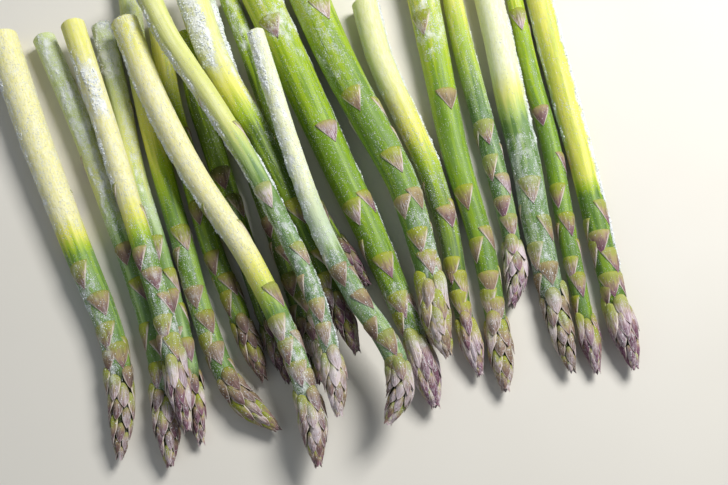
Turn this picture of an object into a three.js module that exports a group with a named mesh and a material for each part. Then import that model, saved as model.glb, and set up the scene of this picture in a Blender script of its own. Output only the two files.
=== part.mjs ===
// A loose heap of frozen green asparagus spears on a flat surface.
// Millimetres, +Z up. The cut butts point to +Y and the tips to -Y.
// Every spear grew as one piece, so each is one closed solid, and nothing ties the heap together.
import * as THREE from 'three';

// ---- Driving dimensions ----

// Corners of a spear's section. One side faces straight down, so a spear lies on a flat.
const SIDES = 12;
// Height of a section's centre above the side it lies on, for a corner radius of 1.
const REST = Math.cos(Math.PI / SIDES);
// Left between two spears that touch.
const GAP = 0.45;
// Lengths that the stem and the bud are divided into.
const STEM_LENGTHS = 11;
const BUD_LENGTHS = 6;
// Where the bud is widest, as a share of its length from the tip.
const WIDEST = 0.55;
// How full the bud is towards its point: 1 is a straight cone, less is fuller.
const FULLNESS = 0.75;
// Spacing of the places where two spears are tried against each other.
const TRIAL_STEP = 2.5;
// Steepest rise along a spear that lies on others, and the steps in which its tilt is tried.
const MAX_TILT = 0.05;
const TILTS = 20;
// The waxy, slightly frosted skin is dull.
const ROUGHNESS = 0.6;

const SKIN_COLOURS = {
  pale: 0xd3d68c,
  yellowGreen: 0xa9bc55,
  green: 0x86a64a,
  deepGreen: 0x647f33,
  frosted: 0xc6d2b8,
};

// The spears in the order in which they were laid down, so a later one lies on the earlier ones.
// route: its line seen from above, from the cut butt to the point of the bud, as [x, y].
// butt, mid, neck, bud: diameters at the cut, halfway up the stem, below the bud and at its widest.
const SPEARS = [
  // Those that lie on the surface.
  {
    name: 'spear_01', skin: 'pale', butt: 15, mid: 13, neck: 10.6, bud: 11, budLength: 34,
    route: [[-160, 95], [-140, 46], [-120, 1], [-101, -41], [-96, -65], [-95, -87]],
  },
  {
    name: 'spear_02', skin: 'green', butt: 10.4, mid: 10.4, neck: 10, bud: 11.8, budLength: 30,
    route: [[-142, 96], [-123, 56], [-107, 19], [-93, -15], [-82, -48], [-75, -90]],
  },
  {
    name: 'spear_04', skin: 'green', butt: 10.2, mid: 9.2, neck: 8.2, bud: 8.4, budLength: 28,
    route: [[-116.5, 102], [-106, 65], [-96.4, 29], [-82.2, -11], [-71, -48], [-64, -81]],
  },
  {
    name: 'spear_06', skin: 'green', butt: 10.4, mid: 9.8, neck: 9.4, bud: 10.8, budLength: 29,
    route: [[-108, 132], [-98, 77], [-88.5, 42], [-74.5, -2], [-64.5, -33], [-51, -61], [-34, -76]],
  },
  {
    name: 'spear_07', skin: 'yellowGreen', butt: 9.6, mid: 9.6, neck: 9, bud: 9.4, budLength: 26,
    route: [[-92, 106], [-84, 65], [-75, 36], [-63, -2], [-53, -25], [-40, -56]],
  },
  {
    name: 'spear_09', skin: 'deepGreen', butt: 10, mid: 10, neck: 9.2, bud: 9.4, budLength: 26,
    route: [[-79, 98], [-72, 65], [-64, 42], [-52, 6], [-41.6, -24], [-30, -57]],
  },
  {
    name: 'spear_11', skin: 'deepGreen', butt: 9.4, mid: 9.6, neck: 9, bud: 9.4, budLength: 26,
    route: [[-76, 130], [-64, 90], [-56.5, 68], [-45, 29], [-34, -2], [-24, -33], [-18, -57]],
  },
  {
    name: 'spear_12', skin: 'deepGreen', butt: 8.6, mid: 9, neck: 8.6, bud: 8.8, budLength: 24,
    route: [[-61.5, 117], [-51, 90], [-42.3, 65], [-28, 31], [-15, 5.5], [1.5, -17]],
  },
  {
    name: 'spear_14', skin: 'green', butt: 17.4, mid: 15.4, neck: 10.4, bud: 12.6, budLength: 29,
    route: [[-53.5, 131], [-24, 64], [-10, 32], [1, 8], [11, -16], [21, -41], [28, -67]],
  },
  {
    name: 'spear_15', skin: 'green', butt: 18.4, mid: 15.6, neck: 10.8, bud: 12.8, budLength: 32,
    route: [[-31, 130], [-14, 87], [6, 45], [15, 27], [26, -14], [29, -35], [33, -48]],
  },
  {
    name: 'spear_16', skin: 'yellowGreen', butt: 12.4, mid: 11, neck: 8, bud: 9.8, budLength: 23,
    route: [[0, 113], [7, 84], [18, 57], [27, 35], [35, 6], [39.3, -24], [46.2, -54]],
  },
  {
    name: 'spear_17', skin: 'green', butt: 15.4, mid: 12.4, neck: 9.2, bud: 10.3, budLength: 28,
    route: [[23, 133], [30, 91], [39, 39], [49, -1], [53.4, -32], [56.2, -60]],
  },
  {
    name: 'spear_18', skin: 'frosted', butt: 8.8, mid: 10, neck: 8, bud: 10.2, budLength: 27,
    route: [[37, 132], [43, 94], [49, 65], [54, 42], [61, 5], [62.4, -13], [60, -26]],
  },
  {
    name: 'spear_20', skin: 'green', butt: 7.2, mid: 8.6, neck: 7.4, bud: 9, budLength: 22,
    route: [[65, 132], [73.6, 75], [79.4, 47], [86, -6], [90, -32], [93, -53]],
  },
  {
    name: 'spear_19', skin: 'frosted', butt: 12.6, mid: 13.4, neck: 11, bud: 11.2, budLength: 33,
    route: [[52, 133], [59.4, 91], [63.6, 62], [68.2, 37], [72.3, 4], [77, -24], [83, -53]],
  },
  {
    name: 'spear_21', skin: 'pale', butt: 12, mid: 11.6, neck: 10, bud: 12, budLength: 28,
    route: [[75.3, 133], [81.2, 95], [92.2, 37], [98.5, -1], [104, -33], [108, -52]],
  },
  // Those that lie across others.
  {
    name: 'spear_03', skin: 'pale', butt: 11, mid: 9.9, neck: 9.2, bud: 9.6, budLength: 29,
    route: [[-127, 98], [-105, 39], [-91, 0], [-78, -38], [-72, -62], [-68, -77]],
  },
  {
    name: 'spear_10', skin: 'yellowGreen', butt: 15, mid: 12.4, neck: 9.6, bud: 9.6, budLength: 26,
    route: [[-79, 121], [-63.5, 78], [-46, 46.5], [-30.5, 16], [-13.5, -21], [-8, -33], [-3, -46]],
  },
  {
    name: 'spear_13', skin: 'frosted', butt: 7.8, mid: 8.8, neck: 9.6, bud: 10.8, budLength: 24,
    route: [[-46, 88], [-39.5, 67], [-29.5, 35], [-17, 1], [-2.5, -27], [11, -47.5], [14, -62], [9, -75]],
  },
  {
    name: 'spear_08', skin: 'frosted', butt: 11, mid: 9, neck: 7.6, bud: 9.2, budLength: 25,
    route: [[-97, 117], [-84.5, 89], [-63, 56], [-44.5, 26], [-30.5, -1], [-19, -27], [-12.5, -51], [-9.5, -72]],
  },
  {
    name: 'spear_05', skin: 'pale', butt: 12.4, mid: 10.8, neck: 9.6, bud: 11.4, budLength: 27,
    route: [[-104, 98], [-88, 60], [-69.5, 26], [-48.5, -5.5], [-33.5, -34], [-21.5, -65.5], [-17.5, -90]],
  },
];

// ---- The shape of one spear ----

// The line of a spear seen from above, at height 0.
function planCurve(spear) {
  const points = spear.route.map(([x, y]) => new THREE.Vector3(x, y, 0));
  return new THREE.CatmullRomCurve3(points, false, 'centripetal');
}

// The radius of a spear at a distance from its butt.
function radiusAt(spear, distance, length) {
  const stem = length - spear.budLength;
  if (distance <= stem) {
    // A smooth curve through the diameters at the butt, halfway and at the neck.
    const t = distance / stem;
    const butt = spear.butt * (1 - t) * (1 - 2 * t);
    const mid = spear.mid * 4 * t * (1 - t);
    const neck = spear.neck * t * (2 * t - 1);
    return (butt + mid + neck) / 2;
  }
  const fromTip = (length - distance) / spear.budLength;
  if (fromTip > WIDEST) {
    const swell = THREE.MathUtils.smoothstep(1 - fromTip, 0, 1 - WIDEST);
    return THREE.MathUtils.lerp(spear.neck, spear.bud, swell) / 2;
  }
  const towardsPoint = 1 - fromTip / WIDEST;
  return (spear.bud / 2) * Math.pow(1 - towardsPoint * towardsPoint, FULLNESS);
}

// The stations where the spear has a section: distance from the butt, place, direction and radius.
function stations(spear) {
  const curve = planCurve(spear);
  const length = curve.getLength();
  const stem = length - spear.budLength;
  const distances = [];
  for (let i = 0; i <= STEM_LENGTHS; i += 1) {
    distances.push((stem * i) / STEM_LENGTHS);
  }
  for (let i = 1; i < BUD_LENGTHS; i += 1) {
    distances.push(stem + (spear.budLength * i) / BUD_LENGTHS);
  }
  const list = distances.map((distance) => stationAt(spear, curve, distance, length));
  list.push(stationAt(spear, curve, length, length));
  return list;
}

function stationAt(spear, curve, distance, length) {
  const share = Math.min(distance / length, 1);
  return {
    distance,
    place: curve.getPointAt(share),
    direction: curve.getTangentAt(share),
    radius: radiusAt(spear, distance, length),
  };
}

// ---- Where a spear comes to rest ----

// Places along a spear, close enough together to try it against the others.
function trialPlaces(spear) {
  const curve = planCurve(spear);
  const length = curve.getLength();
  const count = Math.ceil(length / TRIAL_STEP);
  const places = [];
  for (let i = 0; i <= count; i += 1) {
    places.push(stationAt(spear, curve, (length * i) / count, length));
  }
  return places;
}

// How high the centre of a spear must be at one place to clear a spear that already lies there.
function heightOver(place, laid) {
  let height = 0;
  for (const other of laid.places) {
    const reach = place.radius + other.radius + GAP;
    const apart = place.place.distanceTo(other.place);
    if (apart < reach) {
      height = Math.max(height, laid.heightAt(other.distance) + Math.sqrt(reach ** 2 - apart ** 2));
    }
  }
  return height;
}

// A spear on the surface follows its own underside as far as the widest part of its bud.
function restOnSurface(spear, places) {
  const length = places.at(-1).distance;
  const widest = length - WIDEST * spear.budLength;
  return (distance) => REST * radiusAt(spear, Math.min(distance, widest), length);
}

// A spear on others is stiff, and takes the tilt that lets its middle lie lowest.
function restOnSupports(supports, middle) {
  let best = { height: Infinity, tilt: 0 };
  for (let i = -TILTS; i <= TILTS; i += 1) {
    const tilt = (MAX_TILT * i) / TILTS;
    const needed = supports.map(({ distance, height }) => height + tilt * (middle - distance));
    const height = Math.max(...needed);
    if (height < best.height) {
      best = { height, tilt };
    }
  }
  return (distance) => best.height + best.tilt * (distance - middle);
}

// Lays one spear on the surface and on those already laid.
function lay(spear, laid) {
  const places = trialPlaces(spear);
  const supports = [];
  let touches = false;
  for (const place of places) {
    const floor = REST * place.radius;
    const overOthers = Math.max(0, ...laid.map((other) => heightOver(place, other)));
    touches = touches || overOthers > floor;
    supports.push({ distance: place.distance, height: Math.max(floor, overOthers) });
  }
  const middle = places.at(-1).distance / 2;
  const heightAt = touches ? restOnSupports(supports, middle) : restOnSurface(spear, places);
  return { spear, places, heightAt };
}

// ---- From a spear to a solid ----

// The corners of one upright section, with a side facing straight down.
function sectionCorners(station, height) {
  const side = new THREE.Vector3(-station.direction.y, station.direction.x, 0).normalize();
  const corners = [];
  for (let i = 0; i < SIDES; i += 1) {
    const angle = (2 * Math.PI * (i + 0.5)) / SIDES - Math.PI / 2;
    const corner = side.clone().multiplyScalar(Math.cos(angle) * station.radius);
    corner.z = Math.sin(angle) * station.radius;
    corners.push(corner.add(station.place).setZ(corner.z + height));
  }
  return corners;
}

// A closed skin over the sections, with a flat cut at the butt and a point at the tip.
function spearGeometry({ spear, heightAt }) {
  const list = stations(spear);
  const tip = list.pop();
  const points = [];
  for (const station of list) {
    points.push(...sectionCorners(station, heightAt(station.distance)));
  }
  points.push(tip.place.clone().setZ(heightAt(tip.distance)));
  const point = points.length - 1;
  const faces = [];
  for (let row = 0; row < list.length - 1; row += 1) {
    for (let i = 0; i < SIDES; i += 1) {
      const a = row * SIDES + i;
      const b = row * SIDES + ((i + 1) % SIDES);
      faces.push(a, b, a + SIDES, b, b + SIDES, a + SIDES);
    }
  }
  const last = (list.length - 1) * SIDES;
  for (let i = 0; i < SIDES; i += 1) {
    faces.push(last + i, last + ((i + 1) % SIDES), point);
  }
  for (let i = 1; i < SIDES - 1; i += 1) {
    faces.push(0, i + 1, i);
  }
  const geometry = new THREE.BufferGeometry();
  const coordinates = points.flatMap((corner) => [corner.x, corner.y, corner.z]);
  geometry.setAttribute('position', new THREE.Float32BufferAttribute(coordinates, 3));
  geometry.setIndex(faces);
  geometry.computeVertexNormals();
  return geometry;
}

function spearMesh(laidSpear) {
  const { name, skin } = laidSpear.spear;
  const material = new THREE.MeshStandardMaterial({
    color: SKIN_COLOURS[skin],
    roughness: ROUGHNESS,
    metalness: 0,
  });
  const mesh = new THREE.Mesh(spearGeometry(laidSpear), material);
  mesh.name = name;
  return mesh;
}

// ---- The heap ----

const laid = [];
for (const spear of SPEARS) {
  laid.push(lay(spear, laid));
}

const heap = new THREE.Group();
for (const laidSpear of laid) {
  heap.add(spearMesh(laidSpear));
}

// The origin is in the middle of the heap, on the surface that it lies on.
const middle = new THREE.Box3().setFromObject(heap).getCenter(new THREE.Vector3());
heap.position.set(-middle.x, -middle.y, 0);

export default heap;
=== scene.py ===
# A loose heap of twenty-one frozen green asparagus spears, with the cut ends to +Y and the tips to -Y.
# Metres, +Z up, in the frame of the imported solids. Distances along a spear run from its tip.
import math

import bpy
import numpy as np
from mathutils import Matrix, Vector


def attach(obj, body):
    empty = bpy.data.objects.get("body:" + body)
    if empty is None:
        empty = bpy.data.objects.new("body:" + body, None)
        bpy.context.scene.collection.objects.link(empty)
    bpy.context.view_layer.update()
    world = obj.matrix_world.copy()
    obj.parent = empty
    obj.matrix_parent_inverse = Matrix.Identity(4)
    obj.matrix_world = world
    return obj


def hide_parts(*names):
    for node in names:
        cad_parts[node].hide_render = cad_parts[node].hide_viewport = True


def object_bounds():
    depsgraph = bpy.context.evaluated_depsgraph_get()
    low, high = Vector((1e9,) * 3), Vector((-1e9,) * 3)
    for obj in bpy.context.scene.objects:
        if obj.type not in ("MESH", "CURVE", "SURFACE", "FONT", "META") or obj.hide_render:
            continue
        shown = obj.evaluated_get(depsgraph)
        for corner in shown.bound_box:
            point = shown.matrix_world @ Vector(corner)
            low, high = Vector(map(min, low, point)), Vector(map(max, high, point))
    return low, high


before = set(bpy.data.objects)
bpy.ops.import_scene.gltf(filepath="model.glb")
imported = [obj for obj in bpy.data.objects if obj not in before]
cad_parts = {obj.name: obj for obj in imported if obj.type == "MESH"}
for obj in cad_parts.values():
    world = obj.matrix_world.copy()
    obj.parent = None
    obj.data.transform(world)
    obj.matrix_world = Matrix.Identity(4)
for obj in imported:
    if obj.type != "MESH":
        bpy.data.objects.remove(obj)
cad_low, cad_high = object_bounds()

# ---- The table top, the light and the camera ----
# The heap lies loose on a pale, plain table top under soft light from the far right.
# It is looked at from almost straight above, from the side of the tips.
MM = 0.001
TABLE_HALF = 1.6


def paint(red, green, blue):
    """A colour given from 0 to 255, as the shader's linear values."""
    share = [value / 255 for value in (red, green, blue)]
    linear = [s / 12.92 if s <= 0.04045 else ((s + 0.055) / 1.055) ** 2.4 for s in share]
    return (*linear, 1.0)


def plug_in(tree, socket, value):
    """Feeds a socket from another socket, or sets it."""
    if isinstance(value, bpy.types.NodeSocket):
        tree.links.new(value, socket)
    else:
        socket.default_value = value


def blend_colours(tree, share, first, second, way="MIX"):
    node = tree.nodes.new("ShaderNodeMix")
    node.data_type = "RGBA"
    node.blend_type = way
    node.clamp_factor = True
    plug_in(tree, node.inputs[0], share)
    plug_in(tree, node.inputs[6], first)
    plug_in(tree, node.inputs[7], second)
    return node.outputs[2]


def noise(tree, place, scale, detail=3.0, roughness=0.55):
    node = tree.nodes.new("ShaderNodeTexNoise")
    tree.links.new(place, node.inputs["Vector"])
    node.inputs["Scale"].default_value = scale
    node.inputs["Detail"].default_value = detail
    node.inputs["Roughness"].default_value = roughness
    return node.outputs["Fac"]


def new_material(name):
    material = bpy.data.materials.new(name)
    material.use_nodes = True
    tree = material.node_tree
    return material, tree, tree.nodes["Principled BSDF"]


def table_top():
    material, tree, shader = new_material("table_paint")
    place = tree.nodes.new("ShaderNodeTexCoord").outputs["Object"]
    cloud = noise(tree, place, 9.0)
    colour = blend_colours(tree, cloud, paint(214, 210, 202), paint(224, 221, 214))
    tree.links.new(colour, shader.inputs["Base Color"])
    shader.inputs["Roughness"].default_value = 0.7
    mesh = bpy.data.meshes.new("table_top")
    corners = [(TABLE_HALF * x, TABLE_HALF * y, 0) for x, y in ((-1, -1), (1, -1), (1, 1), (-1, 1))]
    mesh.from_pydata(corners, [], [(0, 1, 2, 3)])
    mesh.materials.append(material)
    table = bpy.data.objects.new("table_top", mesh)
    bpy.context.scene.collection.objects.link(table)


def soft_lamp(name, place, size, watts, colour):
    lamp = bpy.data.lights.new(name, "AREA")
    lamp.shape = "SQUARE"
    lamp.size = size
    lamp.energy = watts
    lamp.color = colour
    piece = bpy.data.objects.new(name, lamp)
    piece.location = place
    aim = piece.location.copy()
    aim.negate()
    piece.rotation_euler = aim.to_track_quat("-Z", "Y").to_euler()
    bpy.context.scene.collection.objects.link(piece)


def studio():
    world = bpy.data.worlds.new("studio")
    world.use_nodes = True
    air = world.node_tree.nodes["Background"]
    air.inputs["Color"].default_value = (0.86, 0.93, 1.0, 1.0)
    air.inputs["Strength"].default_value = 0.20
    bpy.context.scene.world = world
    soft_lamp("window", (0.40, 0.36, 0.60), 0.32, 8.0, (1.0, 0.985, 0.95))
    soft_lamp("fill", (-0.55, -0.35, 0.7), 0.8, 0.7, (0.9, 0.95, 1.0))
    bpy.context.scene.view_settings.view_transform = "Standard"
    bpy.context.scene.view_settings.look = "None"


def camera():
    lean = math.radians(17)
    distance = 0.416
    # It aims a little to the right of the middle and nearer the tips, at the height of a stalk.
    right_share, back_share, height = 0.60, 0.40, 8 * MM
    width, depth = cad_high[0] - cad_low[0], cad_high[1] - cad_low[1]
    aim = (cad_low[0] + right_share * width, cad_low[1] + back_share * depth, height)
    lens = bpy.data.cameras.new("camera")
    lens.lens = 50
    lens.sensor_width = 36
    piece = bpy.data.objects.new("camera", lens)
    piece.location = (aim[0], aim[1] - distance * math.sin(lean), aim[2] + distance * math.cos(lean))
    piece.rotation_euler = (lean, 0, 0)
    bpy.context.scene.collection.objects.link(piece)
    bpy.context.scene.camera = piece


table_top()
studio()
camera()

# ---- The stems ----
# A stem is a juicy round stalk, cream at the old end and green towards the tip, with fine lengthwise
# fibres, a bluish bloom of wax and a coat of frost. It was cut straight across with a knife.

# turn: the green starts to turn yellow and the cream is full at these distances from the tip, in mm.
# oldest: how far the old end went from green (0) over lime and lemon to cream (1).
# greener: how far the last stretch before the cut goes back towards green.
# haze: bloom of wax over the skin. tone: 0 is a deep green and 1 a light one. slim: how much the bud
# thins towards its point.
# frost: patches of [from, to, angle from the top, half angle, thickness], + angles towards +X.
STEMS = {
    "spear_01": dict(
        slot="pale_skin", slim=0.25, turn=(84, 108), greener=0.22, tone=0.5, haze=0.46,
        frost=[(18, 80, -40, 75, 0.52), (100, 194, -75, 40, 0.6), (90, 194, 20, 90, 0.30)],
    ),
    "spear_02": dict(
        slot="green_skin", slim=0.30, turn=(92, 165), tone=0.35, haze=0.75,
        frost=[(95, 199, 10, 70, 0.62), (60, 120, -60, 30, 0.3), (10, 40, 0, 90, 0.4)],
    ),
    "spear_03": dict(
        slot="pale_skin", slim=0.42, turn=(74, 108), greener=0.42, tone=0.55, haze=0.35,
        frost=[
            (137, 161, 8, 40, 1.4), (100, 168, -70, 34, 0.75),
            (80, 168, 20, 80, 0.28), (20, 74, 30, 80, 0.5),
        ],
    ),
    "spear_04": dict(
        slot="green_skin", turn=(78, 185), tone=0.45, haze=0.72,
        frost=[(160, 191, -10, 80, 1.0), (90, 166, 40, 50, 0.45)],
    ),
    "spear_05": dict(
        slot="pale_skin", turn=(60, 100), greener=0.42, tone=0.45, haze=0.44,
        frost=[
            (100, 205, -80, 26, 0.75), (74, 200, 0, 90, 0.26),
            (16, 56, 10, 90, 0.55), (196, 210, 0, 90, 0.6),
        ],
    ),
    "spear_06": dict(
        slot="green_skin", turn=(104, 185), oldest=0.72, tone=0.35, haze=0.45,
        frost=[(150, 208, 30, 60, 0.45), (20, 92, -30, 70, 0.42)],
    ),
    "spear_07": dict(
        slot="yellow_green_skin", turn=(90, 230), tone=0.7, haze=0.25,
        frost=[(120, 180, 40, 40, 0.3)],
    ),
    "spear_08": dict(
        slot="frosted_skin", turn=(100, 166), oldest=0.50, tone=0.45, haze=0.74,
        frost=[
            (118, 200, -76, 34, 0.85), (60, 118, -80, 28, 0.6),
            (20, 112, 82, 20, 0.7), (16, 84, 10, 90, 0.45),
        ],
    ),
    "spear_09": dict(
        slot="deep_green_skin", slim=0.40, turn=(110, 330), tone=0.5, haze=0.15,
        frost=[(100, 167, 20, 40, 0.25)],
    ),
    "spear_10": dict(
        slot="yellow_green_skin", turn=(98, 150), oldest=0.72, tone=0.0, haze=0.1,
        frost=[(136, 170, -25, 50, 1.3), (90, 140, 62, 30, 0.55)],
    ),
    "spear_11": dict(
        slot="deep_green_skin", slim=0.40, turn=(98, 150), oldest=0.92, tone=0.3, haze=0.2,
        frost=[(128, 181, 42, 38, 1.3), (90, 130, 70, 25, 0.4)],
    ),
    "spear_12": dict(
        slot="deep_green_skin", slim=0.40, turn=(90, 330), tone=0.5, haze=0.1,
        frost=[(118, 147, 0, 70, 0.6)],
    ),
    "spear_13": dict(
        slot="frosted_skin", turn=(68, 124), tone=0.3, haze=0.8,
        frost=[
            (140, 178, -50, 34, 1.3), (92, 178, -20, 110, 0.5),
            (66, 140, -70, 34, 0.7), (24, 92, 0, 90, 0.34),
        ],
    ),
    "spear_14": dict(
        slot="green_skin", slim=0.10, turn=(120, 380), tone=0.6, haze=0.15,
        frost=[
            (164, 196, 25, 60, 0.7), (58, 165, 84, 18, 0.6),
            (40, 160, 0, 80, 0.17), (18, 50, -10, 80, 0.5),
        ],
    ),
    "spear_15": dict(
        slot="green_skin", slim=0.20, turn=(110, 400), tone=0.45, haze=0.35,
        frost=[
            (118, 178, -25, 60, 0.42), (50, 120, 72, 28, 0.4),
            (50, 120, 0, 70, 0.18), (20, 62, 30, 60, 0.5),
        ],
    ),
    "spear_16": dict(
        slot="yellow_green_skin", slim=0.50, turn=(74, 150), tone=0.55, haze=0.35,
        frost=[(84, 174, 80, 26, 0.8), (84, 174, -80, 22, 0.5), (60, 120, 0, 90, 0.3)],
    ),
    "spear_17": dict(
        slot="green_skin", slim=0.15, turn=(110, 330), tone=0.6, haze=0.35,
        frost=[(146, 176, 0, 80, 0.55), (60, 150, 74, 26, 0.25), (10, 30, 0, 90, 0.35)],
    ),
    "spear_18": dict(
        slot="frosted_skin", turn=(84, 230), tone=0.3, haze=0.62,
        frost=[(40, 142, 0, 100, 0.24), (60, 142, 76, 26, 0.45)],
    ),
    "spear_19": dict(
        slot="frosted_skin", slim=0.30, turn=(106, 138), tone=0.35, haze=0.7,
        frost=[(20, 100, -20, 100, 0.42), (96, 169, 74, 34, 0.7)],
    ),
    "spear_20": dict(
        slot="green_skin", slim=0.50, turn=(110, 330), tone=0.5, haze=0.3,
        frost=[(30, 171, 40, 60, 0.18)],
    ),
    "spear_21": dict(
        slot="pale_skin", slim=0.45, turn=(72, 96), oldest=0.40, tone=0.45, haze=0.15,
        frost=[
            (74, 169, 74, 36, 1.4), (40, 80, 76, 28, 1.1),
            (90, 169, -84, 16, 0.6), (90, 169, 0, 60, 0.2),
        ],
    ),
}

# Light and deep green of each finish. The deep green finish, on spears lying low in the heap, is
# partly their own deep green and partly painted shade.
GREENS = {
    "pale_skin": (paint(126, 166, 36), paint(60, 100, 14)),
    "yellow_green_skin": (paint(136, 164, 22), paint(56, 84, 5)),
    "green_skin": (paint(132, 170, 12), paint(66, 104, 6)),
    "deep_green_skin": (paint(104, 136, 14), paint(30, 52, 4)),
    "frosted_skin": (paint(112, 152, 44), paint(52, 92, 18)),
}
# The two shades of the old end of each finish.
OLD_ENDS = {
    "pale_skin": (paint(232, 226, 154), paint(238, 235, 196)),
    "yellow_green_skin": (paint(218, 222, 150), paint(228, 230, 186)),
    "green_skin": (paint(186, 200, 132), paint(202, 214, 166)),
    "deep_green_skin": (paint(166, 182, 116), paint(180, 194, 142)),
    "frosted_skin": (paint(224, 228, 176), paint(234, 238, 208)),
}
LIME = paint(156, 184, 34)
LEMON, LEMON_SHADE = paint(230, 227, 108), paint(214, 214, 92)
WAX, WAX_VEIL = paint(150, 180, 146), paint(186, 204, 180)
ICE, ICE_SHADE = paint(246, 248, 250), paint(214, 222, 230)


class SpearLine:
    """The middle line and the thickness of one spear, read from its solid in the frame."""

    STEP = 0.5 * MM
    # The bud of each solid lies between its point and this section.
    BUD_SECTION = 6
    # The point of a bud is blunt, so its thickness is smoothed on a raised scale and brought back.
    RAISE, BRING_BACK = 1.333, 0.75

    def __init__(self, node):
        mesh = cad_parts[node].data
        corners = np.array([vertex.co for vertex in mesh.vertices])
        corners, number = np.unique(np.round(corners, 6), axis=0, return_inverse=True)
        number = number.ravel()
        near = [set() for _ in corners]
        for face in mesh.polygons:
            ring = [number[i] for i in face.vertices]
            for a, b in zip(ring, ring[1:] + ring[:1]):
                near[a].add(b)
                near[b].add(a)
        # The solid's sections, one after another from the point of the bud.
        rows = [[int(corners[:, 1].argmin())]]
        seen = set(rows[0])
        while True:
            row = sorted({other for corner in rows[-1] for other in near[corner]} - seen)
            if not row:
                break
            seen.update(row)
            rows.append(row)
        middles = np.array([corners[row].mean(axis=0) for row in rows])
        radii = np.array([
            np.linalg.norm(corners[row] - middle, axis=1).mean() for row, middle in zip(rows, middles)
        ])
        gaps = np.linalg.norm(np.diff(middles, axis=0), axis=1)
        stations = np.concatenate([[0], np.cumsum(gaps)])
        self.length = stations[-1]
        self.bud = stations[self.BUD_SECTION]
        self.along = np.arange(0, self.length, self.STEP)
        self.middle = self.through(stations, middles)
        self.radius = np.maximum(self.through(stations, radii ** self.RAISE), 0) ** self.BRING_BACK
        onward = -np.gradient(self.middle, axis=0)
        onward /= np.linalg.norm(onward, axis=1, keepdims=True)
        self.onward = onward
        self.up = np.array([0, 0, 1]) - onward * onward[:, 2:]
        self.up /= np.linalg.norm(self.up, axis=1, keepdims=True)
        self.side = np.cross(self.up, onward)
        self.slim = STEMS[node].get("slim", 0.30)

    def through(self, stations, values):
        """A smooth run through the values at the stations."""
        slope = np.gradient(values, stations, axis=0)
        i = np.clip(np.searchsorted(stations, self.along, side="right") - 1, 0, len(stations) - 2)
        gap = stations[i + 1] - stations[i]
        t = (self.along - stations[i]) / gap
        if values.ndim > 1:
            gap, t = gap[:, None], t[:, None]
        start = values[i] * (1 + 2 * t) * (1 - t) ** 2 + slope[i] * gap * t * (1 - t) ** 2
        end = values[i + 1] * t ** 2 * (3 - 2 * t) - slope[i + 1] * gap * t ** 2 * (1 - t)
        return start + end

    def reading(self, values, along):
        return np.stack([np.interp(along, self.along, values[:, k]) for k in range(3)], axis=-1)

    def thickness(self, along):
        return np.interp(along, self.along, self.radius)

    def points(self, along, angle, reach):
        """Points at distances from the tip, angles from the top and distances from the middle line."""
        middle = self.reading(self.middle, along)
        middle = middle - self.onward[0] * np.minimum(along, 0)[..., None]
        out = (
            self.reading(self.up, along) * np.cos(angle)[..., None]
            + self.reading(self.side, along) * np.sin(angle)[..., None]
        )
        return middle + out * reach[..., None]


LINES = {node: SpearLine(node) for node in STEMS}


def smooth_step(value, start, end):
    t = np.clip((value - start) / (end - start), 0, 1)
    return t * t * (3 - 2 * t)


PEBBLE_BOX = 32
PEBBLES = np.random.default_rng(11).random((PEBBLE_BOX, PEBBLE_BOX, PEBBLE_BOX))


def mottle(place, size):
    """Smooth random values from 0 to 1, in patches of about the given size."""
    cell = place / np.asarray(size)
    low = np.floor(cell).astype(int)
    t = cell - low
    t = t * t * (3 - 2 * t)
    total = 0
    for corner in np.ndindex(2, 2, 2):
        weight = np.prod(np.abs(1 - np.array(corner) - t), axis=-1)
        spot = (low + corner) % PEBBLE_BOX
        total = total + weight * PEBBLES[spot[..., 0], spot[..., 1], spot[..., 2]]
    return total


def straight_place(along, angle, reach):
    """The place on the spear if it were laid out straight, in mm: grain and frost follow it."""
    return np.stack([np.cos(angle) * reach, np.sin(angle) * reach, along], axis=-1) / MM


# Patterns on the skin are laid out on a stalk of this half thickness, and each spear's lie this far
# from the next one's, in mm, so that no two spears look alike.
EVEN_STALK = 5 * MM
APART = 40
THIN_FROST = 0.08


def spear_number(node):
    return int(node[-2:])


def frost_on(node, along, angle):
    """Thickness of the frost, from 0 to 1, at places on a spear."""
    place = straight_place(along, angle, np.full_like(along, EVEN_STALK)) + APART * spear_number(node)
    total = np.full_like(along, THIN_FROST)
    for start, end, middle, half, amount in STEMS[node]["frost"]:
        turn = np.abs((np.degrees(angle) - middle + 180) % 360 - 180)
        ragged = 14 * (mottle(place, (3, 3, 5)) - 0.5)
        fall = 1 - smooth_step(turn + ragged, 0.6 * half, 1.25 * half)
        ends = smooth_step(along / MM + ragged, start - 7, start + 7)
        ends = ends * (1 - smooth_step(along / MM - ragged, end - 4, end + 8))
        total = np.maximum(total, amount * fall * ends)
    patchy = 0.35 + 1.1 * mottle(place, (1.6, 1.6, 4.0))
    return np.clip(total * patchy, 0, 1)


def core_share(line, along):
    """The stalk gets thinner inside the bud, where scales cover it, and runs out to a point."""
    inside = 1 - 0.27 * smooth_step(-along, -1.15 * line.bud, -0.70 * line.bud)
    return inside * (1 - line.slim * smooth_step(-along, -0.66 * line.bud, 0.04 * line.bud))


# A twelve-sided solid lies on its flats, so the round skin keeps to the distance of those.
FLAT = math.cos(math.pi / 12)


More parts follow.
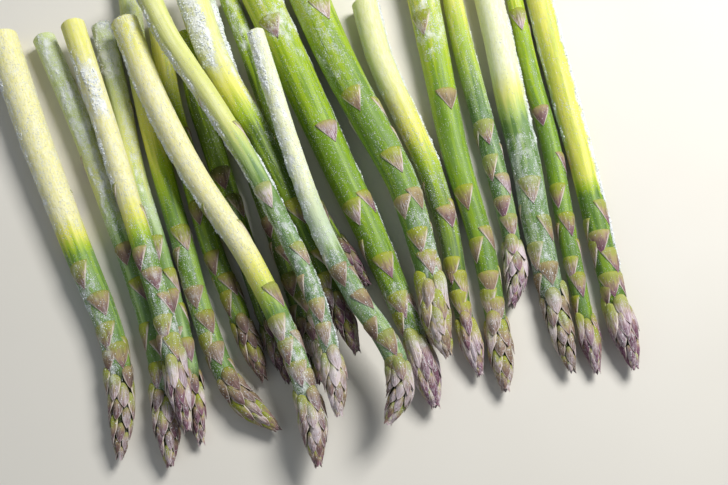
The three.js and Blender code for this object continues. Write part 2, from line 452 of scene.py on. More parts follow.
def skin_reach(node, along, angle):
    """Distance from the middle line to the bare skin."""
    line = LINES[node]
    seed = 17.0 * spear_number(node)
    bare = line.thickness(along) * FLAT * core_share(line, along)
    place = straight_place(along, angle, np.full_like(along, EVEN_STALK)) + seed
    # Faint lengthwise ridges, and the slight dents of a stalk that has lost some water.
    wide_ridges = 0.010 * MM * (np.cos(13 * angle + 0.05 * along / MM + seed) - 1)
    fine_ridges = 0.009 * MM * (np.cos(29 * angle - 0.04 * along / MM) - 1)
    long_dents = 0.14 * MM * mottle(place, (3.4, 3.4, 22.0))
    small_dents = 0.07 * MM * mottle(place, (1.3, 1.3, 3.0))
    return bare + (wide_ridges + fine_ridges) - (long_dents + small_dents)


# Frost thicker than this stands up from the skin as a crust.
CRUST_FROM = 0.34
TABLE_CLEAR = 0.02 * MM


def new_piece(node, part, points, faces, values, material, smooth=True):
    """A mesh on its spear: it rides with the heap and takes the finish of its spear's slot."""
    # Whatever would reach under the table top is pressed flat on it.
    points[:, 2] = np.maximum(points[:, 2], TABLE_CLEAR)
    mesh = bpy.data.meshes.new(f"{node}_{part}")
    mesh.from_pydata(points.tolist(), [], faces)
    for name, value in values.items():
        kind, field = ("FLOAT_VECTOR", "vector") if value.ndim > 1 else ("FLOAT", "value")
        layer = mesh.attributes.new(name, kind, "POINT")
        layer.data.foreach_set(field, value.astype(np.float32).ravel())
    mesh.polygons.foreach_set("use_smooth", [smooth] * len(mesh.polygons))
    mesh.materials.append(material)
    mesh.update()
    piece = bpy.data.objects.new(f"{node}_{part}", mesh)
    bpy.context.scene.collection.objects.link(piece)
    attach(piece, "root")
    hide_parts(node)


def math_node(tree, operation, *values, clamp=False):
    node = tree.nodes.new("ShaderNodeMath")
    node.operation = operation
    node.use_clamp = clamp
    for socket, value in zip(node.inputs, values):
        plug_in(tree, socket, value)
    return node.outputs[0]


def times(tree, first, second):
    return math_node(tree, "MULTIPLY", first, second)


def plus(tree, first, second):
    return math_node(tree, "ADD", first, second)


def fade(tree, value, start, end, low=0.0, high=1.0):
    """Goes smoothly from low to high while value goes from start to end."""
    node = tree.nodes.new("ShaderNodeMapRange")
    node.interpolation_type = "SMOOTHSTEP"
    plug_in(tree, node.inputs["Value"], value)
    plug_in(tree, node.inputs["From Min"], start)
    plug_in(tree, node.inputs["From Max"], end)
    plug_in(tree, node.inputs["To Min"], low)
    plug_in(tree, node.inputs["To Max"], high)
    return node.outputs["Result"]


def new_group(name, inputs, outputs):
    group = bpy.data.node_groups.new(name, "ShaderNodeTree")
    for label, kind in inputs.items():
        group.interface.new_socket(label, in_out="INPUT", socket_type=f"NodeSocket{kind}")
    for label, kind in outputs.items():
        group.interface.new_socket(label, in_out="OUTPUT", socket_type=f"NodeSocket{kind}")
    given = group.nodes.new("NodeGroupInput").outputs
    result = group.nodes.new("NodeGroupOutput").inputs
    return group, given, result


def use_group(tree, group, **inputs):
    node = tree.nodes.new("ShaderNodeGroup")
    node.node_tree = group
    for label, value in inputs.items():
        plug_in(tree, node.inputs[label], value)
    return node.outputs


def stretch(tree, place, across, along):
    """The same place with other scales across and along the spear."""
    node = tree.nodes.new("ShaderNodeVectorMath")
    node.operation = "MULTIPLY"
    tree.links.new(place, node.inputs[0])
    node.inputs[1].default_value = (across, across, along)
    return node.outputs[0]


def fibre_group():
    """Lengthwise fibres: wide soft bands and fine threads, both running with the stalk."""
    group, given, result = new_group("fibres", dict(Place="Vector"), dict(Bands="Float", Threads="Float"))
    bands = noise(group, stretch(group, given["Place"], 0.5, 0.028), 1.0, 3.0)
    threads = noise(group, stretch(group, given["Place"], 3.2, 0.10), 1.0, 2.0)
    group.links.new(fade(group, bands, 0.34, 0.66), result["Bands"])
    group.links.new(fade(group, threads, 0.30, 0.70), result["Threads"])
    return group


def fleck_group():
    """Small pale flecks, such as pores and single crystals on the skin."""
    group, given, result = new_group("flecks", dict(Place="Vector", Amount="Float"), dict(Mask="Float"))
    cells = group.nodes.new("ShaderNodeTexVoronoi")
    group.links.new(stretch(group, given["Place"], 1.6, 1.4), cells.inputs["Vector"])
    cells.inputs["Scale"].default_value = 1.0
    size = times(group, given["Amount"], 0.42)
    patch = noise(group, given["Place"], 0.35, 2.0)
    size = times(group, size, fade(group, patch, 0.36, 0.62, 0.25, 1.3))
    edge = times(group, size, 0.55)
    group.links.new(fade(group, cells.outputs["Distance"], size, edge), result["Mask"])
    return group


def frost_group():
    """Frost: fine white grains, sparse where it is thin and closing into a crust where it is thick."""
    group, given, result = new_group(
        "frost", dict(Place="Vector", Amount="Float"), dict(Mask="Float", Height="Float")
    )
    cloud = noise(group, stretch(group, given["Place"], 0.30, 0.22), 1.0, 5.0, 0.65)
    local = times(group, given["Amount"], fade(group, cloud, 0.32, 0.66, 0.40, 1.25))
    mask = times(group, fade(group, local, 0.22, 0.95), 0.84)
    height = local
    for scale, share in ((2.9, 0.80), (1.8, 0.40)):
        cells = group.nodes.new("ShaderNodeTexVoronoi")
        group.links.new(stretch(group, given["Place"], scale, scale * 0.8), cells.inputs["Vector"])
        cells.inputs["Scale"].default_value = 1.0
        chance = group.nodes.new("ShaderNodeSeparateColor")
        group.links.new(cells.outputs["Color"], chance.inputs[0])
        level = times(group, local, share)
        there = fade(group, math_node(group, "SUBTRACT", level, chance.outputs[0]), -0.02, 0.04)
        grain = times(group, there, fade(group, cells.outputs["Distance"], 0.52, 0.22))
        mask = math_node(group, "MAXIMUM", mask, grain)
        height = math_node(group, "MAXIMUM", height, grain)
    group.links.new(mask, result["Mask"])
    group.links.new(height, result["Height"])
    return group


def skin_group():
    """The colours of a stalk from tip to cut: green under a bloom of wax, lime, yellow, then cream, with
    painted shade inside the bud.
    """
    group, given, result = new_group(
        "skin_colours",
        dict(Place="Vector", Bands="Float", Threads="Float", Tone="Float", Haze="Float", Age="Float",
             Heart="Float", Cut="Float", Green="Color", Deep="Color", Cream="Color", Sugar="Color"),
        dict(Color="Color", Bloom="Float", Bundles="Float"),
    )
    place, bands = given["Place"], given["Bands"]
    tone = plus(group, given["Tone"], times(group, bands, 0.5))
    tone = math_node(group, "SUBTRACT", tone, 0.25, clamp=True)
    green = blend_colours(group, tone, given["Deep"], given["Green"])
    thread = times(group, given["Threads"], 0.14)
    green = blend_colours(group, thread, green, paint(178, 202, 66))
    # The bloom of wax lies on the skin in soft clouds.
    cloud = noise(group, stretch(group, place, 0.3, 0.08), 1.0, 3.0)
    bloom = times(group, given["Haze"], fade(group, cloud, 0.32, 0.66, 0.25, 1.0))
    green = blend_colours(group, times(group, bloom, 0.6), green, WAX)
    # Towards the old end the green runs out in streaks, into lime, yellow and then cream.
    ragged = times(group, math_node(group, "SUBTRACT", bands, 0.5), 0.16)
    age = plus(group, given["Age"], ragged)
    lemon = blend_colours(group, bands, LEMON_SHADE, LEMON)
    sugar = noise(group, stretch(group, place, 1.3, 0.30), 1.0, 3.0, 0.7)
    cream = blend_colours(group, fade(group, sugar, 0.36, 0.64), given["Cream"], given["Sugar"])
    colour = blend_colours(group, fade(group, age, 0.0, 0.20), green, LIME)
    colour = blend_colours(group, fade(group, age, 0.14, 0.48), colour, lemon)
    veil = times(group, fade(group, given["Haze"], 0.36, 0.66), fade(group, age, 0.0, 0.2))
    colour = blend_colours(group, times(group, veil, 0.85), colour, WAX_VEIL)
    colour = blend_colours(group, fade(group, age, 0.40, 0.85), colour, cream)
    # Painted shade: inside the bud, under the scales, the stalk is darkened.
    colour = blend_colours(group, given["Heart"], colour, paint(52, 58, 22))
    # The cut shows pale flesh with the ends of the fibre bundles.
    cells = group.nodes.new("ShaderNodeTexVoronoi")
    group.links.new(place, cells.inputs["Vector"])
    cells.inputs["Scale"].default_value = 0.95
    bundles = fade(group, cells.outputs["Distance"], 0.30, 0.16)
    flesh = blend_colours(group, bundles, paint(228, 230, 188), paint(186, 188, 128))
    flesh = blend_colours(group, noise(group, place, 2.4), flesh, paint(240, 240, 222))
    colour = blend_colours(group, given["Cut"], colour, flesh)
    group.links.new(colour, result["Color"])
    group.links.new(bloom, result["Bloom"])
    group.links.new(bundles, result["Bundles"])
    return group


FIBRES = fibre_group()
FLECKS = fleck_group()
FROST = frost_group()
SKIN = skin_group()


def attribute(tree, name, output="Fac"):
    node = tree.nodes.new("ShaderNodeAttribute")
    node.attribute_name = name
    return node.outputs[output]


def relief_on(tree, shader, relief, depth, strength):
    """Small bumps on the skin, up to the given depth."""
    bump = tree.nodes.new("ShaderNodeBump")
    bump.inputs["Distance"].default_value = depth
    bump.inputs["Strength"].default_value = strength
    tree.links.new(relief, bump.inputs["Height"])
    tree.links.new(bump.outputs["Normal"], shader.inputs["Normal"])


# How strongly skin and leaves mirror the light.
SKIN_SHINE = 0.32


def skin_material(slot):
    material, tree, shader = new_material(slot)
    place, cut = attribute(tree, "place", "Vector"), attribute(tree, "cut")
    frost_amount = attribute(tree, "frost")
    green, deep = GREENS[slot]
    cream, sugar = OLD_ENDS[slot]
    fibres = use_group(tree, FIBRES, Place=place)
    threads = fibres["Threads"]
    skin = use_group(
        tree, SKIN, Place=place, Bands=fibres["Bands"], Threads=threads, Tone=attribute(tree, "tone"),
        Haze=attribute(tree, "haze"), Age=attribute(tree, "age"), Heart=attribute(tree, "painted_bud_shade"), Cut=cut,
        Green=green, Deep=deep, Cream=cream, Sugar=sugar,
    )
    fleck_amount = fade(tree, frost_amount, 0.0, 0.5, 0.45, 1.0)
    flecks = use_group(tree, FLECKS, Place=place, Amount=fleck_amount)["Mask"]
    colour = blend_colours(tree, times(tree, flecks, 0.7), skin["Color"], ICE_SHADE)
    frost = use_group(tree, FROST, Place=place, Amount=frost_amount)
    ice = blend_colours(tree, frost["Height"], ICE_SHADE, ICE)
    colour = blend_colours(tree, times(tree, frost["Mask"], 0.92), colour, ice)
    tree.links.new(colour, shader.inputs["Base Color"])
    shader.inputs["Specular IOR Level"].default_value = SKIN_SHINE
    wet = fade(tree, threads, 0.0, 1.0, 0.40, 0.52)
    dull = plus(tree, wet, times(tree, skin["Bloom"], 0.2))
    rough = math_node(tree, "MAXIMUM", dull, times(tree, frost["Mask"], 0.82))
    tree.links.new(rough, shader.inputs["Roughness"])
    relief = times(tree, threads, 0.10)
    relief = plus(tree, relief, times(tree, flecks, 0.35))
    relief = plus(tree, relief, times(tree, frost["Height"], 1.6))
    relief = math_node(tree, "SUBTRACT", relief, times(tree, skin["Bundles"], cut))
    relief_on(tree, shader, relief, 0.20 * MM, 1.0)
    return material


STEM_SKINS = {slot: skin_material(slot) for slot in GREENS}
AROUND = 88
ALONG_STEP = 0.6 * MM
STALK_START = 1.6 * MM
STALK_POINT = 0.8 * MM
RIM = 0.5 * MM
CUT_RINGS = 12
CUT_DIP = 0.45 * MM
CRUST_HEIGHT = 0.85 * MM
# The last stretch that goes back towards green: where it starts and is full, in mm before the cut.
GREENER_START, GREENER_FULL = 55, 5


def stem(node):
    line, facts = LINES[node], STEMS[node]
    end = line.length - 1.5 * line.STEP
    along = np.arange(STALK_START, end - RIM, ALONG_STEP)
    angle = np.linspace(0, 2 * math.pi, AROUND, endpoint=False)
    grid_along, grid_angle = np.meshgrid(along, angle, indexing="ij")
    frost = frost_on(node, grid_along, grid_angle)
    place = straight_place(grid_along, grid_angle, line.thickness(grid_along))
    crumbs = 0.7 * mottle(place + 3, 0.8) ** 2 + mottle(place + 9, 2.5) * 0.6
    crust = np.maximum(frost - CRUST_FROM, 0) * crumbs * CRUST_HEIGHT
    # No frost grows on the underside, where the spear lies on something.
    crust = crust * smooth_step(np.cos(grid_angle), -0.75, -0.45)
    reach = skin_reach(node, grid_along, grid_angle) + crust
    points = [line.points(grid_along, grid_angle, reach)]
    cut = [np.zeros(grid_along.size)]
    # The cut face: a softened rim, then flat flesh with small dips.
    shares = 1 - (np.arange(CUT_RINGS) / CUT_RINGS) ** 1.1
    for i, share in enumerate(shares):
        on_rim = i == 0
        ring_along = np.full(AROUND, along[-1] + RIM * min(1.0, 0.45 * (i + 1)))
        dip = mottle(straight_place(ring_along, angle, reach[-1] * share), (1.1, 1.1, 1.1)) - 0.5
        if not on_rim:
            ring_along = ring_along + dip * CUT_DIP
        points.append(line.points(ring_along, angle, reach[-1] * (0.97 if on_rim else share)))
        cut.append(np.full(AROUND, 0.0 if on_rim else 1.0))
    rows = len(along) + CUT_RINGS
    ends = np.array([STALK_POINT, along[-1] + 0.8 * RIM])
    points.append(line.points(ends, np.zeros(2), np.zeros(2)))
    points = np.concatenate([part.reshape(-1, 3) for part in points])
    faces = []
    for row in range(rows - 1):
        for i in range(AROUND):
            a, b = row * AROUND + i, row * AROUND + (i + 1) % AROUND
            faces.append((a, a + AROUND, b + AROUND, b))
    last = (rows - 1) * AROUND
    for i in range(AROUND):
        faces.append((i, (i + 1) % AROUND, rows * AROUND))
        faces.append((last + (i + 1) % AROUND, last + i, rows * AROUND + 1))
    # No frost lies on the cut.
    more = np.zeros(CUT_RINGS * AROUND + 2)
    cut_places = [straight_place(np.full(AROUND, end), angle, reach[-1] * share) for share in shares]
    flat_place = np.concatenate([place.reshape(-1, 3), *cut_places, np.zeros((2, 3))])
    green_end, cream_start = facts["turn"]
    from_tip = np.concatenate([grid_along.ravel(), more + end]) / MM
    age = np.clip((from_tip - green_end) / (cream_start - green_end), 0, facts.get("oldest", 1))
    last_stretch = smooth_step(from_tip, end / MM - GREENER_START, end / MM - GREENER_FULL)
    waxy = 0.65 + 0.35 * (1 - smooth_step(from_tip, 60, 120))
    values = {
        "place": flat_place + APART * spear_number(node),
        "frost": np.concatenate([frost.ravel(), more]),
        "cut": np.concatenate([*cut, [0, 1]]),
        "age": age - facts.get("greener", 0) * last_stretch,
        # Painted shade on the stalk inside the bud, under its scales.
        "painted_bud_shade": 1 - smooth_step(from_tip, 0.85 * line.bud / MM, 1.1 * line.bud / MM),
        "tone": facts["tone"] * (0.25 + 0.75 * smooth_step(from_tip, 28, 95)),
        "haze": facts["haze"] * waxy,
    }
    new_piece(node, "stem", points, faces, values, STEM_SKINS[facts["slot"]])


for node in STEMS:
    stem(node)

# ---- The leaves on the stems ----
# A small three-cornered leaf lies flat against the stalk at every joint, with its point towards the
# tip. It is thin and papery, yellow-green at its foot and tan to mauve at its point, with pale edges.

# (distance of the foot from the tip in mm, angle from the top in degrees) of those on the upper side.
LEAVES = {
    "spear_01": [(82, -30), (67, 15), (54, -20), (45, 32), (43, -40)],
    "spear_02": [(93, -15), (77, 20), (58, -60), (50, 40), (41, -25)],
    "spear_03": [(76, -42), (66, 18), (55, 70), (46, -12), (38, 35), (39, -80)],
    "spear_04": [(87, -10), (72, 60), (63, 0), (47, -45), (42, 30)],
    "spear_05": [(73, 48), (60, -30), (52, 85), (50, -38), (40, -12), (36, 50)],
    "spear_06": [(96, 20), (87, -80), (69, -8), (58, 25), (49, -45), (44, 8)],
    "spear_07": [(80, -18), (57, -30), (46, 35), (39, -50)],
    "spear_08": [(98, -16), (70, 42), (57, -82), (46, -6), (36, -12)],
    "spear_09": [(95, -4), (82, 48), (55, -15), (42, 30)],
    "spear_10": [(67, 14), (44, 45), (34, -27)],
    "spear_11": [(72, -37), (58, 25), (46, -22), (37, 35)],
    "spear_12": [(53, -25), (42, 30), (34, -22)],
    "spear_13": [(69, -27), (56, 33), (44, -50), (37, 5), (27, -30)],
    "spear_14": [(182, -13), (127, 20), (93, 50), (91, -32), (65, 2), (48, -10)],
    "spear_15": [(166, 20), (121, -20), (114, 75), (89, 5), (70, 40), (68, -40), (53, -12), (43, 10)],
    "spear_16": [(71, 20), (49, -36), (43, 32), (35, -18), (30, 15)],
    "spear_17": [(168, -34), (130, 17), (86, -26), (67, 55), (63, -58), (48, -8), (41, -45), (37, 18)],
    "spear_18": [(82, -11), (66, -46), (57, 40), (47, -27), (39, 2)],
    "spear_19": [(82, -11), (65, 46), (54, -52), (45, 4)],
    "spear_20": [(164, -8), (116, -25), (94, 72), (80, -36), (67, 12), (48, -40), (41, 4)],
    "spear_21": [(71, 48), (58, -20), (55, -80), (50, 32), (40, -14)],
}
# How the leaves and bud scales of each spear are tinted: purple and cream, and a level of painted
# light, low for spears that lie shaded low in the heap, which darkens their leaves and scales.
TINTS_AND_SHADE = {
    "spear_01": (0.48, 0.36, 0.50), "spear_02": (0.60, 0.30, 0.55), "spear_03": (0.75, 0.42, 0.60),
    "spear_04": (0.70, 0.35, 0.55), "spear_05": (0.50, 0.40, 0.58), "spear_06": (0.40, 0.24, 0.46),
    "spear_07": (0.45, 0.15, 0.38), "spear_08": (0.35, 0.60, 0.68), "spear_09": (0.80, 0.15, 0.26),
    "spear_10": (0.85, 0.25, 0.40), "spear_11": (0.70, 0.30, 0.45), "spear_12": (0.90, 0.15, 0.24),
    "spear_13": (0.50, 0.45, 0.50), "spear_14": (0.85, 0.42, 0.62), "spear_15": (0.30, 0.42, 0.64),
    "spear_16": (0.80, 0.45, 0.68), "spear_17": (0.32, 0.45, 0.62), "spear_18": (0.90, 0.50, 0.62),
    "spear_19": (0.35, 0.45, 0.52), "spear_20": (0.85, 0.30, 0.56), "spear_21": (0.90, 0.32, 0.62),
}


def leaf_group():
    """The colours of a leaf from foot to point, with fine veins, pale papery edges and painted shade where
    its light level is low.
    """
    group, given, result = new_group(
        "leaf_colours",
        dict(Leaf="Vector", Place="Vector", Foot="Color", Purple="Float", Cream="Float", Light="Float"),
        dict(Color="Color", Veins="Float"),
    )
    parts = group.nodes.new("ShaderNodeSeparateXYZ")
    group.links.new(given["Leaf"], parts.inputs[0])
    across, along, chance = parts.outputs
    across = math_node(group, "ABSOLUTE", across)
    veins = fade(group, noise(group, stretch(group, given["Place"], 2.6, 0.20), 1.0, 2.0), 0.3, 0.7)
    blotch = noise(group, stretch(group, given["Place"], 0.8, 0.5), 1.0, 3.0)
    # Chance shifts how far the green of the foot reaches; the sides turn sooner than the middle.
    shift = fade(group, chance, 0.0, 1.0, 0.24, -0.34)
    blotchy = times(group, math_node(group, "SUBTRACT", blotch, 0.5), 0.7)
    sideways = times(group, math_node(group, "POWER", across, 2.0), 0.22)
    shift = plus(group, plus(group, shift, blotchy), sideways)
    reach = plus(group, along, shift)
    colour = blend_colours(group, fade(group, reach, -0.02, 0.50), given["Foot"], paint(176, 158, 112))
    mauve = blend_colours(group, given["Purple"], paint(160, 142, 102), paint(152, 108, 132))
    colour = blend_colours(group, fade(group, reach, 0.26, 0.72), colour, mauve)
    rosy = fade(group, given["Purple"], 0.0, 0.6, 0.35, 1.0)
    rose = times(group, fade(group, reach, 0.50, 0.95), rosy)
    colour = blend_colours(group, times(group, rose, 0.85), colour, paint(108, 60, 92))
    streaks = fade(group, noise(group, stretch(group, given["Place"], 0.95, 0.13), 1.0, 2.0), 0.46, 0.60)
    streaks = times(group, streaks, fade(group, along, 0.10, 0.5, 0.1, 0.55))
    streak = blend_colours(group, given["Purple"], paint(104, 94, 58), paint(108, 66, 100))
    colour = blend_colours(group, streaks, colour, streak)
    vein_share = times(group, veins, 0.45)
    soft = plus(group, vein_share, times(group, blotch, 0.7))
    pale = fade(group, plus(group, soft, given["Cream"]), 0.80, 1.42)
    pale = times(group, pale, fade(group, along, 0.10, 0.45, 0.1, 0.8))
    colour = blend_colours(group, pale, colour, paint(224, 212, 220))
    torn = plus(group, across, times(group, veins, 0.06))
    edge = fade(group, torn, 0.80, 0.96)
    edge = times(group, edge, fade(group, along, 0.0, 0.3, 0.0, 0.85))
    colour = blend_colours(group, edge, colour, paint(228, 216, 206))
    # Painted shade: where the light level is low, the leaf is darkened towards brown.
    painted_shade = fade(group, given["Light"], 0.0, 0.75, 0.85, 0.0)
    shade = blend_colours(group, 1.0, colour, paint(112, 100, 82), "MULTIPLY")
    colour = blend_colours(group, painted_shade, colour, shade)
    group.links.new(colour, result["Color"])
    group.links.new(veins, result["Veins"])
    return group


LEAF = leaf_group()


def leaf_material(name, foot):
    material, tree, shader = new_material(name)
    place = attribute(tree, "place", "Vector")
    leaf = use_group(
        tree, LEAF, Leaf=attribute(tree, "leaf", "Vector"), Place=place, Foot=foot,
        Purple=attribute(tree, "purple"), Cream=attribute(tree, "cream"), Light=attribute(tree, "painted_light_and_tone"),
    )
    frost = use_group(tree, FROST, Place=place, Amount=attribute(tree, "frost"))
    ice = blend_colours(tree, frost["Height"], ICE_SHADE, ICE)
    colour = blend_colours(tree, times(tree, frost["Mask"], 0.85), leaf["Color"], ice)
    tree.links.new(colour, shader.inputs["Base Color"])
    shader.inputs["Specular IOR Level"].default_value = SKIN_SHINE
    papery = fade(tree, leaf["Veins"], 0.0, 1.0, 0.5, 0.62)
    rough = math_node(tree, "MAXIMUM", papery, times(tree, frost["Mask"], 0.85))
    tree.links.new(rough, shader.inputs["Roughness"])
    relief = times(tree, leaf["Veins"], 0.5)
    relief = plus(tree, relief, times(tree, frost["Height"], 1.4))
    relief_on(tree, shader, relief, 0.14 * MM, 0.9)
    return material


LEAF_SKINS = {
    "pale_skin": leaf_material("pale_leaf", paint(156, 164, 72)),
    "yellow_green_skin": leaf_material("yellow_green_leaf", paint(158, 162, 50)),
    "green_skin": leaf_material("green_leaf", paint(152, 162, 42)),
    # The deep green leaves have a darker foot: partly their own colour and partly painted shade for spears
    # lying low.
    "deep_green_skin": leaf_material("deep_green_leaf", paint(104, 118, 36)),
    "frosted_skin": leaf_material("frosted_leaf", paint(152, 162, 84)),
}


class LeafSet:
    """Collects the leaves of one spear, each a thin closed blade, into one mesh."""

    def __init__(self, node):
        self.node = node
        self.line = LINES[node]
        self.count = 0
        self.points, self.faces = [], []
        self.values = {name: [] for name in ("place", "leaf", "frost", "purple", "cream", "painted_light_and_tone")}

    def add(self, along, angle, top, bottom, across, share, chance, frost, painted_light_and_tone, tint=1.0):
        """A blade from grids of places and of heights of its two faces over the middle line. Tint is the
        share of the spear's own tint that it takes. The light value given is a random tone of the blade,
        added to the spear's level of painted light."""
        rows, columns = along.shape
        size = rows * columns
        purple, cream, painted_lightness = TINTS_AND_SHADE[self.node]
        even = {
            "purple": tint * purple + 0.5 * (chance - 0.5),
            "cream": tint ** 2 * cream + 0.6 * ((chance * 7) % 1 - 0.5),
            # The spear's level of painted light for its place in the heap, plus a random tone of the blade.
            "painted_light_and_tone": painted_lightness + painted_light_and_tone,
        }
        for reach in (top, bottom):
            self.points.append(self.line.points(along, angle, reach).reshape(-1, 3))
            place = straight_place(along, angle, reach).reshape(-1, 3)
            self.values["place"].append(place + APART * spear_number(self.node) + 7 * chance)
            leaf = np.stack([across, share, np.full_like(share, chance)], axis=-1)
            self.values["leaf"].append(leaf.reshape(-1, 3))
            self.values["frost"].append(frost.ravel())
            for name, value in even.items():
                self.values[name].append(np.full(size, np.clip(value, 0, 1)))
        number = np.arange(size).reshape(rows, columns) + self.count
        upper = np.stack([number[:-1, :-1], number[1:, :-1], number[1:, 1:], number[:-1, 1:]], axis=-1)
        lower = upper[..., ::-1] + size
        rim = np.concatenate([number[0, :], number[1:, -1], number[-1, -2::-1], number[-2:0:-1, 0]])
        after = np.roll(rim, -1)
        wall = np.stack([rim, after, after + size, rim + size], axis=-1)
        self.faces += upper.reshape(-1, 4).tolist() + lower.reshape(-1, 4).tolist() + wall.tolist()
        self.count += 2 * size

    def finish(self, part):
        values = {name: np.concatenate(parts) for name, parts in self.values.items()}
        points = np.concatenate(self.points)
        material = LEAF_SKINS[STEMS[self.node]["slot"]]
        new_piece(self.node, part, points, self.faces, values, material)


LEAF_ROWS, LEAF_COLUMNS = 19, 15
# Each leaf of the spiral stands this far round from the one below it.
SPIRAL_TURN = math.radians(137.5)


def blade_grid(rows, columns):
    """Shares of the way from foot to point, and from one side (-1) to the other (1)."""
    return np.meshgrid(np.linspace(0, 1, rows), np.linspace(-1, 1, columns), indexing="ij")


def stem_leaf(leaves, foot, turn, chance):
    """One leaf against the stalk. It stands off a little where a side bud swells under it."""
    node, line = leaves.node, leaves.line
    share, across = blade_grid(LEAF_ROWS, LEAF_COLUMNS)
    thick = line.thickness(np.array([foot]))[0]
    length = (8.6 + 0.22 * thick / MM + 2.4 * chance) * MM
    half_width = min(1.22 * thick, (5.6 + 0.7 * ((chance * 5) % 1)) * MM)
    outline = (1 - share) ** 0.98 * (1 + 0.14 * share)
    along = foot - length * (share + 0.05 * across ** 2 * (1 - share))
    ragged = 0.02 * np.sin(9 * across + 40 * chance) * share
    along = along + length * ragged
    angle = turn + across * outline * half_width / thick
    angle = angle + 0.10 * (chance - 0.5) * share ** 2
    skin = skin_reach(node, along, angle)
    swell = np.sin(math.pi * np.clip(share * 1.05, 0, 1) ** 0.75) * (1 - across ** 2)
    crease = 0.05 * MM * np.exp(-(across / 0.14) ** 2) * (1 - share)
    veins = 0.025 * MM * np.cos(across * 16) * (1 - share)
    # The foot grows out of the stalk over a soft swelling, and the point stands a little free.
    shelf = 0.34 * (1 - share) ** 2 * smooth_step(share, 0.0, 0.12)
    free = 0.24 * share ** 2 + 0.10 * across ** 4 * share
    over = (0.03 + shelf + 0.30 * swell + free) * MM + crease + veins
    frost = frost_on(node, along, angle) * 0.72 + 0.02
    crumbs = mottle(straight_place(along, angle, skin), (0.8, 0.8, 1.0)) ** 2
    over = over + np.maximum(frost - 0.3, 0) * crumbs * 0.7 * MM
    blade = 0.16 * MM
    sunk = np.minimum(over - blade, (0.45 * share ** 2 - 0.25) * MM)
    # A random tone, added to the spear's level of painted light.
    painted_light_and_tone = 0.1 * (chance - 0.5)
    leaves.add(along, angle, skin + over, skin + sunk, across, share, chance, frost, painted_light_and_tone, tint=0.7)


def half_turn(angle):
    """The same angle, kept within half a turn either way."""
    return (angle + math.pi) % (2 * math.pi) - math.pi


def stem_leaves(node):
    line = LINES[node]
    dice = np.random.default_rng(100 + spear_number(node))
    leaves = LeafSet(node)
    listed = [(foot * MM, math.radians(turn)) for foot, turn in LEAVES[node]]
    for foot, turn in listed:
        stem_leaf(leaves, foot, turn, dice.random())
    # The others, on the far side and close behind the bud, follow the spiral of the plant.
    foot, turn = 1.25 * line.bud, dice.random() * 2 * math.pi
    while foot < line.length - 12 * MM:
        below = abs(half_turn(turn)) > math.radians(95)
        clear = all(abs(foot - other) > 7 * MM or abs(half_turn(turn - way)) > 0.9 for other, way in listed)
        near_bud = foot < 1.75 * line.bud
        if clear and (below or near_bud):
            stem_leaf(leaves, foot, turn, dice.random())
        foot += 3.6 * MM + 0.13 * (foot - line.bud)
        turn += SPIRAL_TURN
    leaves.finish("leaves")


for node in STEMS:
    stem_leaves(node)

# ---- The buds ----
# The growing tip is a tight bud of pointed scales in a spiral. Each is a small plump leaf, keeled in
# the middle, and each lower one laps over the feet of those above it.
BUD_ROWS, BUD_COLUMNS = 21, 15


def bud_scale(leaves, foot, turn, length, half_width, rise, chance, ripe):
    """One scale. The riper it is, the less green is left at its foot."""
    node, line = leaves.node, leaves.line
    share, across = blade_grid(BUD_ROWS, BUD_COLUMNS)
    outline = (0.86 + 0.60 * share) * (1 - share ** 1.5)
    along = foot - length * (share + 0.16 * across ** 2 * (1 - share))
    thick = np.maximum(line.thickness(np.maximum(along, 0)), 0.9 * MM) * FLAT
    core = thick * core_share(line, along)
    angle = turn + across * outline * np.minimum(half_width / thick, 1.25)
    angle = angle + 0.16 * (chance - 0.5) * share ** 2
    plump = np.sin(math.pi * np.clip(share * 1.08, 0, 1) ** 0.62) * (1 - 0.9 * np.abs(across) ** 1.5)
    keel = 0.10 * MM * np.exp(-(across / 0.16) ** 2) * np.sin(math.pi * share)
    grain = mottle(straight_place(along, angle, core) + 9 * chance, (0.8, 0.8, 5.0)) - 0.5
    veins = 0.30 * MM * grain + 0.035 * MM * np.cos(across * 15 + 6 * chance)
    lift = rise * share ** 0.9
    belly = 0.66 * plump * half_width / (3 * MM)
    over = lift + (0.25 + belly + 0.10 * across ** 6) * MM + keel + veins
    over = over - 0.42 * MM * across ** 2 * (1 - share)
    cream = TINTS_AND_SHADE[node][1]
    frost = frost_on(node, along, angle) * 0.4 + (0.06 + 0.50 * cream) * np.maximum(plump, 0)
    crumbs = mottle(straight_place(along, angle, core) + 5, (0.7, 0.7, 0.9)) ** 2
    over = over + np.maximum(frost - 0.22, 0) * crumbs * 0.5 * MM
    blade = (0.14 + 0.26 * (1 - across ** 2) * (1 - share)) * MM
    under = np.where(share < 0.2, np.minimum(over - blade, -0.25 * MM), over - blade)
    # A random tone, added to the spear's level of painted light.
    painted_light_and_tone = 0.2 * (chance - 0.5)
    leaves.add(along, angle, core + over, core + under, across, share + ripe, chance, frost, painted_light_and_tone)


# How a bud differs from most: number of scales, and shares of their usual length, width and spread.
HEADS = {
    "spear_03": (28, 1.25, 1.00, 1.00), "spear_05": (31, 1.05, 1.00, 1.10),
    "spear_06": (28, 1.15, 1.05, 0.95), "spear_08": (25, 1.10, 1.15, 1.15),
    "spear_13": (36, 0.85, 0.85, 1.20), "spear_14": (26, 1.45, 0.95, 0.95),
    "spear_15": (27, 1.25, 1.15, 1.10), "spear_16": (27, 1.20, 0.95, 0.90),
    "spear_17": (26, 1.10, 1.15, 1.15), "spear_18": (34, 0.90, 0.92, 1.20),
    "spear_20": (24, 1.25, 1.00, 0.90), "spear_21": (26, 1.18, 1.08, 1.10),
}


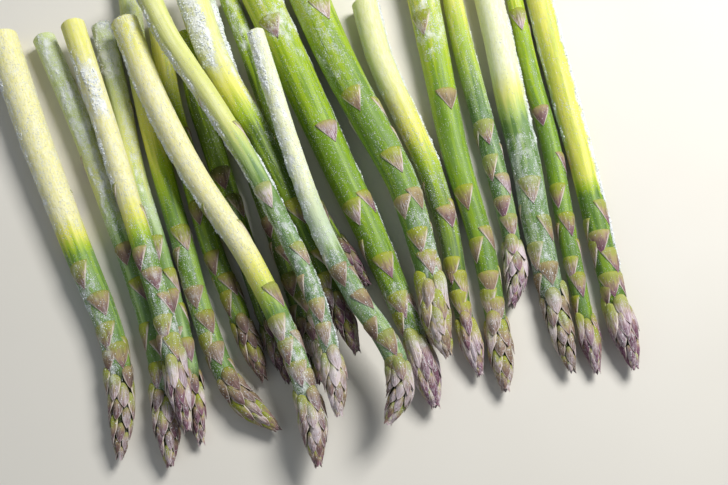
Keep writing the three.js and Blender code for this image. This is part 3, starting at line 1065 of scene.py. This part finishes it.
def bud(node):
    line = LINES[node]
    count, longer, wider, spread = HEADS.get(node, (30, 1.0, 1.0, 1.0))
    dice = np.random.default_rng(300 + spear_number(node))
    scales = LeafSet(node)
    turn = dice.random() * 2 * math.pi
    fattest = line.thickness(np.array([0.55 * line.bud]))[0]
    purple = TINTS_AND_SHADE[node][0]
    first, last = 1.12 * line.bud, 3.0 * MM
    for i in range(count):
        share = i / (count - 1)
        chance = dice.random()
        foot = first + (last - first) * share ** 0.92
        length = (1 - 0.40 * share) * (9.4 + 3.2 * chance) * MM * (0.7 + 0.3 * fattest / (5.5 * MM))
        length = length * longer
        length = min(length, foot + (0.3 + 1.3 * dice.random()) * MM)
        half_width = (1 - 0.32 * share) * (0.62 + 0.14 * chance) * fattest * wider
        rise = (1.55 - 0.75 * share) * MM * spread
        ripe = 0.30 * purple ** 2 * smooth_step(share, 0.1, 0.5) - 0.06
        bud_scale(scales, foot, turn, length, half_width, rise, chance, ripe)
        turn += SPIRAL_TURN + 0.12 * (dice.random() - 0.5)
    scales.finish("bud")


for node in STEMS:
    bud(node)

# ---- The loose frost ----
# Single grains of clear ice grew on the skin in the cold and cling to it. They stand where the frost
# is thick, most of all along the sides, and give each spear a ragged outline.


def ice_material():
    material, tree, shader = new_material("ice_grains")
    place = tree.nodes.new("ShaderNodeTexCoord").outputs["Object"]
    colour = blend_colours(tree, noise(tree, place, 900.0), ICE_SHADE, ICE)
    tree.links.new(colour, shader.inputs["Base Color"])
    tree.links.new(fade(tree, noise(tree, place, 1500.0), 0.3, 0.7, 0.3, 0.6), shader.inputs["Roughness"])
    return material


ICE_GRAINS = ice_material()
# A grain is an uneven crystal with six corners and eight sides.
CORNERS = np.array([(1, 0, 0), (0, 1, 0), (-1, 0, 0), (0, -1, 0), (0, 0, 1), (0, 0, -1)], float)
SIDES = np.array([(0, 1, 4), (1, 2, 4), (2, 3, 4), (3, 0, 4), (1, 0, 5), (2, 1, 5), (3, 2, 5), (0, 3, 5)])
GRAIN_TRIES = 80000
# Grains stand on the skin up to this far round from the top.
GRAIN_TURN = math.radians(118)


def grains(node):
    line = LINES[node]
    dice = np.random.default_rng(500 + spear_number(node))
    along = dice.random(GRAIN_TRIES) * (line.length - 4 * MM) + 3 * MM
    angle = (dice.random(GRAIN_TRIES) * 2 - 1) * GRAIN_TURN
    frost = frost_on(node, along, angle)
    edge = 0.45 + 0.55 * smooth_step(np.abs(np.sin(angle)), 0.6, 0.95)
    keep = dice.random(GRAIN_TRIES) < (frost ** 2.2) * 0.34 * edge + 0.003
    along, angle, frost, edge = along[keep], angle[keep], frost[keep], edge[keep]
    count = len(along)
    crust = np.maximum(frost - CRUST_FROM, 0)
    reach = skin_reach(node, along, angle) + crust * 0.45 * MM
    middle = line.points(along, angle, reach)
    growth = 0.4 + frost + 2.4 * edge * np.maximum(frost - 0.5, 0)
    size = (0.08 + 0.22 * dice.random(count) ** 2 * growth) * MM
    shape = CORNERS[None] * (0.6 + 0.8 * dice.random((count, 1, 3))) * size[:, None, None]
    spin = dice.normal(size=(count, 4))
    spin /= np.linalg.norm(spin, axis=1, keepdims=True)
    # Each grain is turned any which way, by a quaternion of its own.
    turn, axis = spin[:, None, :1], spin[:, None, 1:]
    swung = np.cross(axis, shape)
    points = middle[:, None, :] + shape + 2 * (turn * swung + np.cross(axis, swung))
    faces = (SIDES[None] + 6 * np.arange(count)[:, None, None]).reshape(-1, 3)
    new_piece(node, "frost", points.reshape(-1, 3), faces.tolist(), {}, ICE_GRAINS, smooth=False)


for node in STEMS:
    grains(node)
